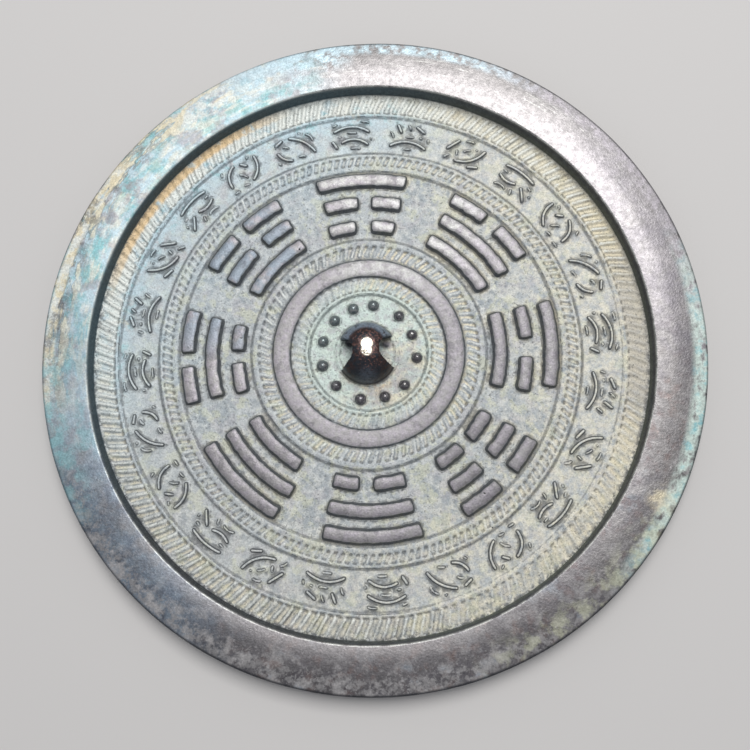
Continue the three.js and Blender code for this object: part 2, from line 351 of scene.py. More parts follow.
# The ring of strokes: groups of ridges that are no letters. A stroke runs from one point to another,
# in mm from the middle of its place, X along the ring and Y outwards, and bends sideways by its bow.
strokes = {
    "radius": 53.6,
    "places": 24,
    "firstPlace": 4.5,
    "width": 1.0,
    "fineWidth": 0.78,
    "endWidth": 0.72,         # of its width that a stroke keeps at its ends
    "lift": 0.3,
    "sets": [
        [(-4.4, 0.6, 4.2, 1.2, 1.5), (-3.9, -2.6, 2.6, -1.6, 1.2), (3.5, -3.0, 4.7, -1.0, 0)],
        [(-4.5, -2.6, 0.9, 2.9, 0.9), (1.3, -2.8, 4.4, 0.2, -0.7), (2.4, 2.9, 4.5, 1.9, 0)],
        [(-4.5, 2.6, -1.2, -2.8, -1.1), (0.9, 3.0, 4.2, -1.8, 1.1), (-1.9, 1.0, -0.5, 2.6, 0)],
        [(-4.5, 2.3, 3.8, 2.5, 0.7), (-4.3, -0.2, 0.4, 0.0, -0.7), (1.8, 0.1, 4.4, -2.7, 0)],
        [(4.4, 2.6, -1.8, -2.6, 1.3), (-4.5, -0.6, -2.3, 2.8, 0), (1.8, -2.9, 4.4, -1.9, 0)],
        [(-4.4, -2.8, 4.4, -2.5, 1.5), (-3.2, 3.1, -1.9, 0.9, 0), (1.3, 3.1, 3.7, 1.6, 0)],
    ],
    "fineSets": [
        [(-4.6, 3.0, -2.4, 3.5, 0.2), (-1.4, 0.7, 1.0, 0.9, 0.1), (3.1, 3.2, 4.4, 2.7, 0.1),
         (-4.7, -0.7, -4.6, -1.5, 0), (2.3, -0.1, 3.3, 0.0, 0), (-1.9, -3.3, 0.5, -3.2, 0.1)],
        [(-4.7, 0.4, -3.4, 2.7, 0.4), (-1.9, -3.0, -0.2, -2.4, 0.2), (1.5, 0.4, 3.0, 1.1, 0.3),
         (4.3, -3.1, 4.9, -2.3, 0), (-2.4, 3.4, -1.7, 3.3, 0)],
        [(0.1, -3.2, 1.6, -2.9, 0.2), (-0.4, -1.6, 1.1, 0.3, 0.3), (3.0, -3.4, 4.6, -3.3, 0),
         (4.4, 3.1, 4.9, 2.0, 0), (-3.4, 3.3, -2.5, 2.7, 0)],
        [(-3.9, -3.0, -0.9, -2.6, 0.5), (3.1, 1.1, 4.3, 0.7, 0), (0.1, -1.7, 0.7, -3.2, 0.2),
         (4.8, -0.3, 4.9, -1.1, 0), (-4.2, 1.1, -2.9, 1.1, 0)],
        [(-0.9, 3.1, 1.2, 3.4, 0.2), (-0.4, 0.3, 1.1, 1.4, 0.2), (-4.3, -3.1, -3.1, -1.7, 0.3),
         (-2.1, 0.3, -1.6, -1.1, 0), (2.0, 2.1, 2.6, 2.0, 0)],
        [(-0.7, 3.3, 0.2, 1.8, 0.2), (-0.9, 0.2, 1.2, 0.3, -0.1), (-4.7, 0.9, -3.8, -0.6, 0.2),
         (4.6, 0.5, 4.8, -0.8, 0), (2.4, 0.4, 3.3, 0.1, 0), (-1.2, -3.1, 1.0, -3.0, 0)],
    ],
}


def makeStroke(x0, y0, x1, y1, bow, width):
    freshStart()
    bpy.ops.curve.primitive_bezier_curve_add()
    stroke = bpy.context.object
    curve = stroke.data
    curve.bevel_depth = width / 2
    curve.bevel_resolution = 2
    curve.resolution_u = 8
    curve.use_fill_caps = True
    start, end = Vector((x0, y0, 0)), Vector((x1, y1, 0))
    along = (end - start).normalized()
    bend = (start + end) / 2 + Vector((-along.y, along.x, 0)) * 2 * bow
    for point, place in zip(curve.splines[0].bezier_points, (start, end)):
        point.handle_left_type = point.handle_right_type = "FREE"
        point.co = place
        point.handle_left = point.handle_right = place + (bend - place) * 2 / 3
        point.radius = strokes["endWidth"]
    bpy.ops.object.convert(target="MESH")
    return bpy.context.object


def makeStrokes():
    patterns = []
    for broad, fine in zip(strokes["sets"], strokes["fineSets"]):
        ridges = [makeStroke(*stroke, strokes["width"]) for stroke in broad]
        ridges += [makeStroke(*stroke, strokes["fineWidth"]) for stroke in fine]
        patterns.append(joinAll("strokePattern", ridges))
    made = []
    for i in range(strokes["places"]):
        placed = ownCopy(patterns[i % len(patterns)])
        flip = 1 - 2 * (i // len(patterns) % 2)     # every second round is mirrored
        setDown(placed, (0, strokes["radius"], disc["field"] + strokes["lift"]), scale=(flip, 1, 1))
        setDown(placed, turn=strokes["firstPlace"] + 360 * i / strokes["places"] - 90)
        closeSurface(placed)
        made.append(placed)
    for pattern in patterns:
        bpy.data.objects.remove(pattern)
    return made


# Bosses and the pierced knob
knob = {
    "across": 13.7,
    "along": 14.4,
    "middle": (-0.35, -0.35),
    "height": ornamentHigh[2] / millimetre - disc["field"],
    "fullness": 2.2,          # 2 is an ellipse; more has a flatter top
    "turn": 3,
    "domeSteps": 24,
    "root": 0.8,
    "holeHalfWidth": 3.1,
    "holeHeight": 5.3,
    "widening": 0.014,        # the hole's flare towards its mouths, across and up
    "raising": 0.09,
    "holeStations": [-8, -6, -4.5, -3, -1.5, 0, 1.5, 3, 4.5, 6, 8],
    "bossRadius": 1.22,
    "bossHeight": 1.2,
    "seam": (6.9, 0.3),       # radius and half width of the faint ridge that the knob stands in
    "bossCircle": 11.1,
    "bossAngles": [22, 50, 84, 109, 137, 167, 197, 227, 261, 290, 317, 353],
}


def makeBosses():
    freshStart()
    bpy.ops.mesh.primitive_uv_sphere_add(segments=24, ring_count=12, radius=1)
    pattern = bpy.context.object
    made = []
    for angle in knob["bossAngles"]:
        reach = knob["bossCircle"] + random.uniform(-0.3, 0.3)
        size = knob["bossRadius"] * random.uniform(0.94, 1.06)
        place = (reach * math.cos(math.radians(angle)), reach * math.sin(math.radians(angle)), disc["field"])
        boss = ownCopy(pattern)
        setDown(boss, place, scale=(size, size, knob["bossHeight"]))
        made.append(boss)
    bpy.data.objects.remove(pattern)
    return made


def makeCordHole():
    # an arch drawn along X, wider and higher towards its mouths
    def size(x):
        across = knob["holeHalfWidth"] + knob["widening"] * x * x
        up = knob["holeHeight"] + knob["raising"] * x * x
        return across, up

    stations = knob["holeStations"]
    freshStart()
    bpy.ops.mesh.primitive_circle_add(vertices=48, radius=1, fill_type="NGON", rotation=(0, math.pi / 2, 0))
    hole = bpy.context.object
    applyPlace(hole)
    across, up = size(stations[0])
    setDown(hole, (stations[0], 0, up * 0.1), scale=(1, across, up * 0.9))
    bpy.ops.object.mode_set(mode="EDIT")
    bpy.ops.mesh.select_all(action="SELECT")
    for last, x in zip(stations, stations[1:]):
        bpy.ops.mesh.extrude_region_move(TRANSFORM_OT_translate={"value": (x - last, 0, 0)})
        ratio = [now / before for now, before in zip(size(x), size(last))]
        bpy.ops.transform.resize(value=(1, ratio[0], ratio[1]), center_override=(x, 0, 0))
    closeSurface(hole)
    return hole


def makeKnob():
    outline = []
    for i in range(knob["domeSteps"] + 1):
        share = math.sin(math.pi / 2 * i / knob["domeSteps"])
        height = knob["height"] * (1 - share ** knob["fullness"]) ** (1 / knob["fullness"])
        outline.insert(0, (share, height))
    outline = [(0, -knob["root"]), (1, -knob["root"])] + outline
    dome = turnOutline("knob", outline, 96)
    setDown(dome, scale=(knob["across"] / 2, knob["along"] / 2, 1))
    hole = makeCordHole()
    finishWith(dome, "BOOLEAN", operation="DIFFERENCE", solver="EXACT", object=hole)
    bpy.data.objects.remove(hole)
    freshStart()
    bpy.ops.mesh.primitive_torus_add(major_radius=knob["seam"][0], minor_radius=knob["seam"][1],
                                     major_segments=120, minor_segments=12)
    dome = joinAll("knob", [dome, bpy.context.object])
    setDown(dome, (*knob["middle"], disc["field"]), turn=knob["turn"])
    return dome


# The relief disc: everything raised from the field, fused, softened and worn as a casting is
relief = {
    "radius": 64.3,
    "thickness": 1.4,
    "underside": 1.0,         # height where the fused relief is cut off, inside the shell
    "wander": 0.45,           # how far the hand-drawn rings and bars stray sideways
    "wanderSize": 14.0,
    "voxel": 0.27,
    "rounding": 2,
    # middle, half width and inner radius of where the outer comb is rubbed flat, or buried in deposit
    "wornSectors": [(-5, 17, 57.5), (315, 26, 57.5), (138, 16, 62.0)],
    "wear": 14,
    "wearFade": 8,            # degrees over which the wear fades out
    "wearAbove": 1.5,
    "pits": 0.12,
    "pitSize": 1.8,
    "grain": 0.09,
    "grainSize": 0.6,
    "farSteps": 40,           # spreading steps of the patina's two measures of depth, wide and close
    "nearStep": 5,
    "keep": 0.29,             # share of the triangles that the decimation keeps
}


def cloudTexture(name, size):
    clouds = bpy.data.textures.new(name, "CLOUDS")
    clouds.noise_scale = size
    clouds.noise_depth = 2
    return clouds


def storeShape(piece):
    # how far each point lies below or above its neighbourhood, in mm, kept as attributes for the patina
    mesh = piece.data
    places = np.empty(len(mesh.vertices) * 3)
    mesh.vertices.foreach_get("co", places)
    heights = places.reshape(-1, 3)[:, 2]
    ends = np.empty(len(mesh.edges) * 2, dtype=np.int64)
    mesh.edges.foreach_get("vertices", ends)
    first, second = ends.reshape(-1, 2).T
    degree = np.bincount(first, minlength=len(heights)) + np.bincount(second, minlength=len(heights))
    spread = heights.copy()
    for step in range(relief["farSteps"]):
        total = np.bincount(first, spread[second], len(heights))
        total += np.bincount(second, spread[first], len(heights))
        spread = 0.5 * spread + 0.5 * total / np.maximum(degree, 1)
        if step == relief["nearStep"]:
            near = spread.copy()
    for name, values in (("sunk", spread - heights), ("fineSunk", near - heights)):
        mesh.attributes.new(name, "FLOAT", "POINT").data.foreach_set("value", values.astype(np.float32))


def rubFlat(piece):
    # the outer comb is worn away in places, where the hand held the mirror
    group = piece.vertex_groups.new(name="rubbedAndHighlight")
    for middle, half, inner in relief["wornSectors"]:
        angle = math.radians(middle)
        towards = Vector((math.cos(angle), math.sin(angle)))
        edge, fade = math.radians(half + relief["wearFade"]), math.radians(relief["wearFade"])
        for point in piece.data.vertices:
            flat = point.co.xy
            if flat.length > inner and point.co.z > relief["wearAbove"] and flat.angle(towards) < edge:
                group.add([point.index], min(1, (edge - flat.angle(towards)) / fade), "REPLACE")
    finishWith(piece, "SMOOTH", factor=0.5, iterations=relief["wear"], vertex_group="rubbedAndHighlight")
    piece.vertex_groups.clear()


def makeRelief():
    freshStart()
    bpy.ops.mesh.primitive_cylinder_add(vertices=360, radius=relief["radius"], depth=relief["thickness"],
                                        location=(0, 0, disc["field"] - relief["thickness"] / 2))
    slab = bpy.context.object
    applyPlace(slab)
    pieces = [slab] + makeRings() + makeBars() + makeStrokes() + makeBosses()
    pieces += [makeComb(*band, seed) for seed, band in enumerate(combs["bands"])]
    print("relief: drawn")
    carved = joinAll("relief", pieces)
    for side, more in (("X", 4), ("Y", 5)):
        clouds = cloudTexture("wander" + side, relief["wanderSize"] + more)
        finishWith(carved, "DISPLACE", texture=clouds, direction=side, strength=relief["wander"],
                   mid_level=0.5)
    carved = joinAll("relief", [carved, makeKnob()])
    finishWith(carved, "REMESH", mode="VOXEL", voxel_size=relief["voxel"])
    pick(carved)
    bpy.ops.object.mode_set(mode="EDIT")
    bpy.ops.mesh.select_all(action="SELECT")
    bpy.ops.mesh.bisect(plane_co=(0, 0, relief["underside"]), plane_no=(0, 0, 1),
                        clear_inner=True, use_fill=True)
    bpy.ops.object.mode_set(mode="OBJECT")
    finishWith(carved, "SMOOTH", factor=0.5, iterations=relief["rounding"])
    rubFlat(carved)
    finishWith(carved, "DISPLACE", texture=cloudTexture("pits", relief["pitSize"]), direction="Z",
               strength=relief["pits"], mid_level=0.5)
    finishWith(carved, "DISPLACE", texture=cloudTexture("grain", relief["grainSize"]), direction="Z",
               strength=relief["grain"], mid_level=0.5)
    storeShape(carved)
    print("relief: fused,", len(carved.data.polygons), "faces")
    finishWith(carved, "DECIMATE", ratio=relief["keep"])
    return carved


def makeMirror():
    # each of the two keeps its own material slot through the join, for its paint
    carved, shell = makeRelief(), makeShell()
    for piece, slot in ((carved, "field"), (shell, "rim")):
        piece.data.materials.clear()
        piece.data.materials.append(bpy.data.materials.new(slot))
    whole = joinAll("bronzeMirror", [carved, shell])
    setDown(whole, scale=(millimetre,) * 3)
    bpy.ops.object.shade_smooth()
    triangles = sum(len(face.vertices) - 2 for face in whole.data.polygons)
    print("mirror:", triangles, "triangles")
    return whole


mirror = makeMirror()
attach(mirror, "root")
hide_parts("mirror")


# Patina. Colours are sRGB as the eye sees them; lengths in mm; angles anticlockwise from the right.
patina = {
    "metal": (116, 113, 112),
    "brightMetal": (136, 133, 132),
    "sheen": (150, 146, 146),
    "lilac": (172, 166, 171),
    "slate": (116, 128, 142),
    "steel": (136, 150, 162),
    "tarnish": (84, 81, 87),
    "brown": (120, 100, 94),
    "dust": (164, 161, 160),
    "field": (184, 189, 190),
    "fieldLight": (216, 217, 211),
    "fieldDark": (124, 133, 139),
    "mint": (206, 222, 212),
    "cream": (232, 220, 188),
    "earth": (226, 194, 144),
    "lime": (202, 203, 174),
    "turquoise": (144, 196, 200),
    "ice": (192, 214, 222),
    "chalk": (232, 234, 226),
    "charcoal": (44, 48, 54),
    "wall": (66, 72, 76),
    "moss": (96, 102, 92),
    "teal": (70, 98, 108),
    "bossMetal": (108, 118, 120),
    "umber": (62, 48, 46),
    "copper": (128, 92, 84),
    "knobHighlight": (236, 226, 206),
    "groove": 0.85,           # how strongly the cream deposit fills the grooves
    "outline": 0.85,          # how dark the foot and steep sides of each raised shape are painted: dark deposit and painted shade
    "fieldGrain": 0.00008,    # bump depth in metres
}


def fromEye(name):
    # sRGB 0-255 to the linear colour that a shader wants
    linear = [((c / 255 + 0.055) / 1.055) ** 2.4 for c in patina[name]]
    return (*linear, 1)


class Wire:
    # a node's output socket, with Math nodes behind its operators
    def __init__(self, tree, socket=None):
        self.tree = tree
        self.socket = socket

    def node(self, kind, settings, values, output=0):
        made = self.tree.nodes.new("ShaderNode" + kind)
        for name, value in settings.items():
            setattr(made, name, value)
        for name, value in values.items():
            if isinstance(value, Wire):
                self.tree.links.new(value.socket, made.inputs[name])
            else:
                made.inputs[name].default_value = value
        return Wire(self.tree, made.outputs[output])

    def maths(self, operation, *values):
        return self.node("Math", {"operation": operation}, dict(enumerate(values)))

    def __add__(self, other):
        return self.maths("ADD", self, other)

    def __sub__(self, other):
        return self.maths("SUBTRACT", self, other)

    def __rsub__(self, other):
        return self.maths("SUBTRACT", other, self)

    def __mul__(self, other):
        return self.maths("MULTIPLY", self, other)

    def __truediv__(self, other):
        return self.maths("DIVIDE", self, other)

    __radd__ = __add__
    __rmul__ = __mul__

    def rising(self, low, high):
        # 0 at low and 1 at high, smooth between; low above high makes it fall
        return self.node("MapRange", {"interpolation_type": "SMOOTHSTEP"},
                         {"Value": self, "From Min": low, "From Max": high})

    def either(self, other):
        # the larger of two masks
        return self.maths("MAXIMUM", self, other)

    def over(self, base, top):
        # this mask lays the colour top over the colour base; a name is one of patina's colours
        base, top = (fromEye(paint) if isinstance(paint, str) else paint for paint in (base, top))
        return self.node("Mix", {"data_type": "RGBA"}, {"Factor": self, 6: base, 7: top}, 2)

    def blend(self, low, high):
        # a number that is low where this mask is 0 and high where it is 1
        return self * (high - low) + low


class Ground:
    # places on the mirror that masks are made from
    def __init__(self, tree):
        self.wire = Wire(tree)
        corner = self.wire.node("TexCoord", {}, {}, "Object")
        self.place = self.wire.node("VectorMath", {"operation": "SCALE"},
                                    {0: corner, "Scale": 1 / millimetre})
        self.x, self.y, self.z = (self.wire.node("SeparateXYZ", {}, {0: self.place}, axis) for axis in "XYZ")
        self.radius = self.wire.maths("SQRT", self.x * self.x + self.y * self.y) + 0.001
        leftover = (self.x * disc["shift"][0] + self.y * disc["shift"][1]) / self.radius
        self.reach = self.radius - disc["swell"] - leftover     # as the radius, but 75 at the cast edge
        turn = {0: self.x / self.radius * 11, 1: self.y / self.radius * 11, 2: self.radius * 0.55}
        self.round = self.wire.node("CombineXYZ", {}, turn)
        self.hair = self.wire.node("VectorMath", {"operation": "MULTIPLY"}, {0: self.round, 1: (0.7, 0.7, 7)})

    def attribute(self, name):
        return self.wire.node("Attribute", {"attribute_name": name}, {}, "Fac")

    def grain(self, size, detail=4, seed=0, place=None):
        moved = {0: place or self.place, 1: (seed * 17.3, seed * 31.7, seed * 5.1)}
        return self.wire.node("TexNoise", {}, {
            "Vector": self.wire.node("VectorMath", {"operation": "ADD"}, moved),
            "Scale": 1 / size, "Detail": detail, "Roughness": 0.6}, "Fac")

    def speckled(self, colour, size, strength):
        # fine lighter and darker grains in a colour
        return self.wire.node("VectorMath", {"operation": "SCALE"},
                              {0: colour, "Scale": self.grain(size, 3, 30) * strength + (1 - strength / 2)})

    def ring(self, inner, outer, soft=0.4):
        return self.radius.rising(inner - soft, inner + soft) * self.radius.rising(outer + soft, outer - soft)

    def rimBand(self, inner, outer, soft=1.0):
        return self.reach.rising(inner - soft, inner + soft) * self.reach.rising(outer + soft, outer - soft)

    def sector(self, middle, half, soft=12):
        angle = math.radians(middle)
        across = (self.x * math.cos(angle) + self.y * math.sin(angle)) / self.radius
        inside = math.cos(math.radians(max(half - soft, 0)))
        return across.rising(math.cos(math.radians(half + soft)), inside)

    def spot(self, angle, radius, size, soft):
        middle = (radius * math.cos(math.radians(angle)), radius * math.sin(math.radians(angle)))
        reach = self.wire.maths("SQRT", (self.x - middle[0]) * (self.x - middle[0])
                                + (self.y - middle[1]) * (self.y - middle[1]))
        return reach.rising(size + soft, size - soft)


def rimColour(ground):
    broad, middling, fine = ground.grain(9, 4, 1), ground.grain(2.4, 4, 2), ground.grain(0.6, 2, 3)
    streaks = ground.grain(1, 5, 4, ground.round)
    outward = ground.reach.rising(67, 73)
    inward = ground.reach.rising(72, 66)
    colour = broad.rising(0.3, 0.7).over("metal", "brightMetal")
    # painted highlight: the lamp's sheen laid on as paler metal over the rim's inner half at the upper right
    colour = (ground.sector(60, 40, 20) * inward * 0.8).over(colour, "sheen")
    colour = (fine.rising(0.56, 0.75) * 0.3).over(colour, "tarnish")
    dusted = ground.sector(15, 85, 30) * ground.reach.rising(70, 74) * middling.rising(0.3, 0.6)
    colour = (dusted * 0.6).over(colour, "dust")
    # tarnish round the lower left, with paler grains in it
    tarnished = ground.sector(245, 62, 30) * (broad * 0.8 + 0.4)
    colour = (tarnished * 0.58).over(colour, "tarnish")
    slated = ground.sector(216, 22, 14) * broad.rising(0.2, 0.55)
    colour = (slated * 0.85).over(colour, middling.rising(0.4, 0.62).over("slate", "steel"))
    dark = ground.sector(280, 75, 25) * ground.grain(3.2, 4, 26).rising(0.5, 0.62) * (outward * 0.7 + 0.3)
    colour = (dark * 0.5).over(colour, "tarnish")
    clouds = ground.sector(276, 70, 25) * ground.grain(4.5, 4, 27).rising(0.48, 0.62)
    clouds = clouds * (outward * 0.6 + 0.4)
    colour = (clouds * 0.85).over(colour, broad.rising(0.5, 0.7).over("dust", "steel"))
    browned = ground.sector(300, 55, 20) * middling.rising(0.45, 0.65)
    browned = browned * ground.grain(6, 4, 28).rising(0.4, 0.6)
    colour = (browned * 0.55).over(colour, "brown")
    grains = ground.sector(270, 90, 25) * fine.rising(0.56, 0.66) * (outward * 0.7 + 0.2)
    colour = (grains * 0.8).over(colour, "dust")
    pale = ground.sector(258, 58, 20) * ground.rimBand(71.3, 74.2, 0.7)
    pale = pale * ground.grain(1.3, 3, 38).rising(0.42, 0.58)
    colour = (pale * 0.75).over(colour, "dust")
    dim = ground.sector(346, 40, 20) * broad.rising(0.35, 0.6) * middling.rising(0.3, 0.6)
    colour = (dim * 0.5).over(colour, "tarnish")
    # blue-green bloom round the upper left, cream and dark where it has flaked
    upperLeft = ground.sector(152, 46, 12)
    bloom = ground.grain(5, 4, 29).rising(0.42, 0.6).over("ice", "turquoise")
    bloom = (streaks.rising(0.48, 0.66) * 0.8).over(bloom, "chalk")
    bloom = (ground.grain(6, 4, 22).rising(0.5, 0.6) * 0.7).over(bloom, "lilac")
    chalked = ground.sector(121, 12, 6) * ground.grain(2.2, 4, 45).rising(0.4, 0.56)
    bloom = (chalked * ground.reach.rising(66.5, 69.5) * 0.8).over(bloom, "chalk")
    bloom = (ground.sector(196, 22, 12) * broad.rising(0.25, 0.6) * 0.7).over(bloom, "steel")
    colour = (upperLeft * (broad.rising(0.15, 0.5) * 0.35 + 0.62)).over(colour, bloom)
    flaking = ground.grain(1, 5, 5, ground.round)     # for the flakes and for their torn edges
    flakes = ground.sector(150, 34, 14) * flaking.rising(0.48, 0.58)
    colour = (flakes * (outward * 0.65 + 0.25)).over(colour, "cream")
    # thin dark edges round the flakes
    torn = ground.sector(158, 24, 10) * flaking.rising(0.46, 0.5) * flaking.rising(0.56, 0.52) * outward
    colour = (torn * 0.6).over(colour, "umber")
    strip = ground.sector(164, 23, 6) * ground.rimBand(72.0, 74.4, 0.5) * streaks.rising(0.32, 0.44)
    stripPaint = middling.rising(0.4, 0.6).over("cream", "chalk")
    colour = (strip * 0.9).over(colour, stripPaint)
    blotches = ground.sector(164, 22, 12) * ground.grain(5, 4, 6).rising(0.48, 0.6) * fine.rising(0.3, 0.5)
    colour = (blotches * (outward * 0.45 + 0.15)).over(colour, "tarnish")
    wisp = ground.sector(106, 11, 3) * outward * ground.grain(3.5, 4, 39).rising(0.38, 0.5)
    colour = (wisp * 0.75).over(colour, "ice")
    frost = ground.sector(58, 60, 18) * ground.rimBand(72.1, 74.7, 0.9)
    frost = frost * ground.grain(2, 3, 44).rising(0.34, 0.6)
    frostPaint = ground.sector(92, 26, 12).over("lilac", "ice")
    colour = (frost * 0.75).over(colour, frostPaint)
    hairs = ground.sector(75, 60, 20) * ground.grain(1, 4, 40, ground.hair).rising(0.6, 0.7)
    colour = (hairs * 0.3).over(colour, "chalk")
    green = ground.sector(194, 13, 7) * ground.grain(3.4, 4, 21).rising(0.42, 0.6) * outward
    colour = (green * 0.6).over(colour, "turquoise")
    # pale blue-green crust along the outer edge on the right
    crusted = ground.sector(348, 26, 10) * ground.reach.rising(70.6, 72.8)
    crusted = crusted * (streaks * 0.5 + middling * 0.6).rising(0.42, 0.58)
    crustPaint = middling.rising(0.5, 0.7).over("mint", "turquoise")
    colour = (crusted * 0.9).over(colour, crustPaint)
    lilac = ground.sector(26, 20, 10) * middling.rising(0.3, 0.6)
    colour = (lilac * 0.25).over(colour, "lilac")
    duller = ground.sector(18, 22, 12) * ground.rimBand(67.6, 71.6) * broad.rising(0.25, 0.6)
    colour = (duller * 0.35).over(colour, "tarnish")
    sandy = ground.sector(312, 18, 8) * outward * ground.grain(3, 4, 43).rising(0.45, 0.6)
    colour = (sandy * 0.5).over(colour, "lime")
    crust = ground.spot(332, 72, 2.2, 2.2) * middling.rising(0.35, 0.6)
    colour = (crust * 0.7).over(colour, "cream")
    pink = ground.sector(258, 28, 16) * ground.radius.rising(68.5, 65.5)
    colour = (pink * 0.6).over(colour, "sheen")
    # painted highlight: a thin pale line along the rim's inner edge, where the edge catches the light, broken
    # by grain
    rubbedAndHighlight = ground.ring(64.4, 64.7, 0.15) * middling.rising(0.36, 0.56)
    colour = (rubbedAndHighlight * 0.6).over(colour, "chalk")
    bare = (1 - upperLeft * 0.8) * (1 - clouds * 0.5) * (1 - tarnished * 0.25) * (1 - dusted * 0.4)
    bare = bare * (1 - crusted * 0.7)
    return ground.speckled(ground.speckled(colour, 0.4, 1.0), 1.1, 0.7), bare


def fieldColour(ground, sunk, fineSunk, steep):
    broad, middling, fine = ground.grain(9, 4, 7), ground.grain(1.6, 3, 8), ground.grain(0.5, 2, 9)
    patches = ground.grain(4, 4, 31)
    outerComb = ground.ring(59.2, 64.2)
    toothed = outerComb.either(ground.ring(22.7, 25.8)).either(ground.ring(45.6, 48.1))
    toothed = toothed.either(ground.ring(14.6, 17.5))
    lined = 1 - toothed
    colour = middling.rising(0.35, 0.7).over("fieldDark", "fieldLight")
    colour = (broad.rising(0.7, 0.35) * 0.5 + 0.25).over(colour, "field")
    colour = (patches.rising(0.5, 0.62) * 0.35).over(colour, "lilac")
    colour = (ground.grain(3, 4, 41).rising(0.5, 0.62) * 0.5).over(colour, "lime")
    # warm dust on the right and below, blue bloom at the upper left
    warm = ground.sector(350, 80, 60) * ground.radius.rising(24, 56)
    colour = (warm * middling.rising(0.3, 0.7) * 0.55).over(colour, "cream")
    blue = ground.sector(140, 56, 26) * ground.radius.rising(25, 60) * broad.rising(0.3, 0.6)
    colour = (blue * 0.5).over(colour, "ice")
    band = ground.ring(49.3, 58.2)
    colour = (band * 0.22).over(colour, "fieldLight")
    bluish = band * ground.sector(128, 42, 22)
    colour = (bluish * patches.rising(0.4, 0.6) * 0.35).over(colour, "ice")
    colour = (bluish * patches.rising(0.5, 0.36) * 0.4).over(colour, "lilac")
    mint = ground.radius.rising(18, 12.5) * (0.5 + 0.5 * middling)
    colour = mint.over(colour, "mint")
    stained = ground.sector(318, 70, 40) * ground.radius.rising(17.5, 12)
    stained = stained * ground.grain(2.5, 4, 23).rising(0.4, 0.62)
    colour = (stained * 0.65).over(colour, "cream")
    stained = ground.spot(290, 8.5, 2.5, 4) * ground.grain(1.2, 3, 24).rising(0.4, 0.6)
    colour = (stained * 0.8).over(colour, "earth")
    shade = ground.sector(305, 50, 25) * ground.radius.rising(14, 11)
    shade = shade * ground.grain(3, 4, 35).rising(0.36, 0.56)
    colour = (shade * 0.65).over(colour, "dust")
    # painted shade: the field inside the knob's two mouths, darkened as under their arches
    paintedMouthShade = ground.spot(154, 4.9, 1.1, 0.6).either(ground.spot(24, 4.5, 1.1, 0.6))
    colour = paintedMouthShade.over(colour, "charcoal")
    bruised = ground.radius.rising(14, 12) * ground.grain(1.6, 3, 25).rising(0.48, 0.6)
    colour = (bruised * 0.45).over(colour, "lilac")
    # deposit in the grooves and round the foot of the bars
    groove = fineSunk.rising(0.0, 0.08) * patches.rising(0.36, 0.52) * toothed
    lee = sunk.rising(0.04, 0.3) * broad.rising(0.3, 0.62)
    filled = groove.either(lee) * (1 - band * 0.6)
    filled = filled * (0.15 + 0.75 * ground.sector(40, 85, 50) + 0.45 * ground.sector(222, 34, 16))
    filled = filled * (1 - ground.sector(135, 40, 15) * 0.7)
    filled = filled * (1 - ground.ring(45.6, 48.1) * 0.4)
    colour = (filled * patina["groove"]).over(colour, "cream")
    dusty = outerComb * (0.08 + 0.5 * ground.sector(40, 66, 36))
    colour = (dusty * broad.rising(0.2, 0.5)).over(colour, "cream")
    icy = ground.sector(134, 50, 14) * ground.ring(56, 64, 2) * ground.grain(3, 4, 10).rising(0.34, 0.52)
    colour = (icy * 0.8).over(colour, "ice")
    colour = (icy * middling.rising(0.5, 0.65) * 0.6).over(colour, "turquoise")
    # paler crests of the teeth, strokes and lines: partly worn metal, partly painted highlight
    crestWearAndHighlight = fineSunk.rising(-0.01, -0.09) * (0.2 + 0.8 * toothed) * patches.rising(0.3, 0.55)
    colour = (crestWearAndHighlight * 0.8).over(colour, "chalk")
    chalky = ground.sector(130, 52, 26) * outerComb * patches.rising(0.3, 0.5)
    colour = (chalky * 0.85).over(colour, "chalk")
    limed = ground.sector(62, 20, 14) * outerComb * patches.rising(0.36, 0.56)
    colour = (limed * 0.5).over(colour, "chalk")
    colour = (ground.sector(2, 14, 10) * outerComb * 0.5).over(colour, "dust")
    earthy = ground.sector(138, 22, 10) * ground.ring(62.0, 64.4, 0.5) * patches.rising(0.3, 0.44)
    colour = (earthy * 0.9).over(colour, "earth")
    # dark grains near the wall's foot: partly grit, partly painted shade in the corner, less at the top
    gritAndFootShade = ground.radius.rising(62.8, 64.0) * (1 - ground.sector(75, 70, 20) * 0.6)
    gritAndFootShade = gritAndFootShade * ground.grain(0.9, 3, 42).rising(0.42, 0.56)
    colour = (gritAndFootShade * 0.8).over(colour, "charcoal")
    # dark foot and steep sides round everything raised: partly dark deposit, partly painted shade in the
    # creases and on the slopes
    footDirtAndShade = lined * fineSunk.rising(0.02, 0.06) * 0.75
    for radius in rings["lines"]:
        hem = ground.ring(radius - 0.9, radius + 0.9, 0.2) * fineSunk.rising(0.004, 0.03)
        footDirtAndShade = footDirtAndShade.either(hem * 0.65)
    dark = (steep * (1 - toothed * 0.5) * (1 - earthy * 0.7)).either(footDirtAndShade) * patina["outline"]
    colour = dark.over(colour, "charcoal")
    colour = (fine.rising(0.55, 0.72) * (0.55 - 0.25 * band)).over(colour, "charcoal")
    return ground.speckled(colour, 0.35, 1.0)


def barColour(ground):
    worn = ground.grain(1.4, 3, 11).rising(0.35, 0.65).over("lilac", "dust")
    steely = ground.sector(148, 28, 14) * ground.ring(27, 45) * ground.grain(5, 3, 32).rising(0.35, 0.55)
    worn = (steely * 0.8).over(worn, "steel")
    worn = (ground.sector(266, 58, 20) * ground.ring(27, 45) * 0.3).over(worn, "tarnish")
    worn = (ground.sector(342, 40, 20) * (ground.ring(27, 45) * 0.2 + 0.1)).over(worn, "tarnish")
    # paler bars at the top: partly chalk, partly painted sheen
    chalked = ground.sector(80, 28, 14) * ground.grain(2.5, 4, 36).rising(0.4, 0.6)
    worn = (chalked * 0.35).over(worn, "chalk")
    worn = (ground.grain(2, 3, 33).rising(0.54, 0.64) * 0.35).over(worn, "tarnish")
    return ground.speckled(worn, 0.4, 0.9)


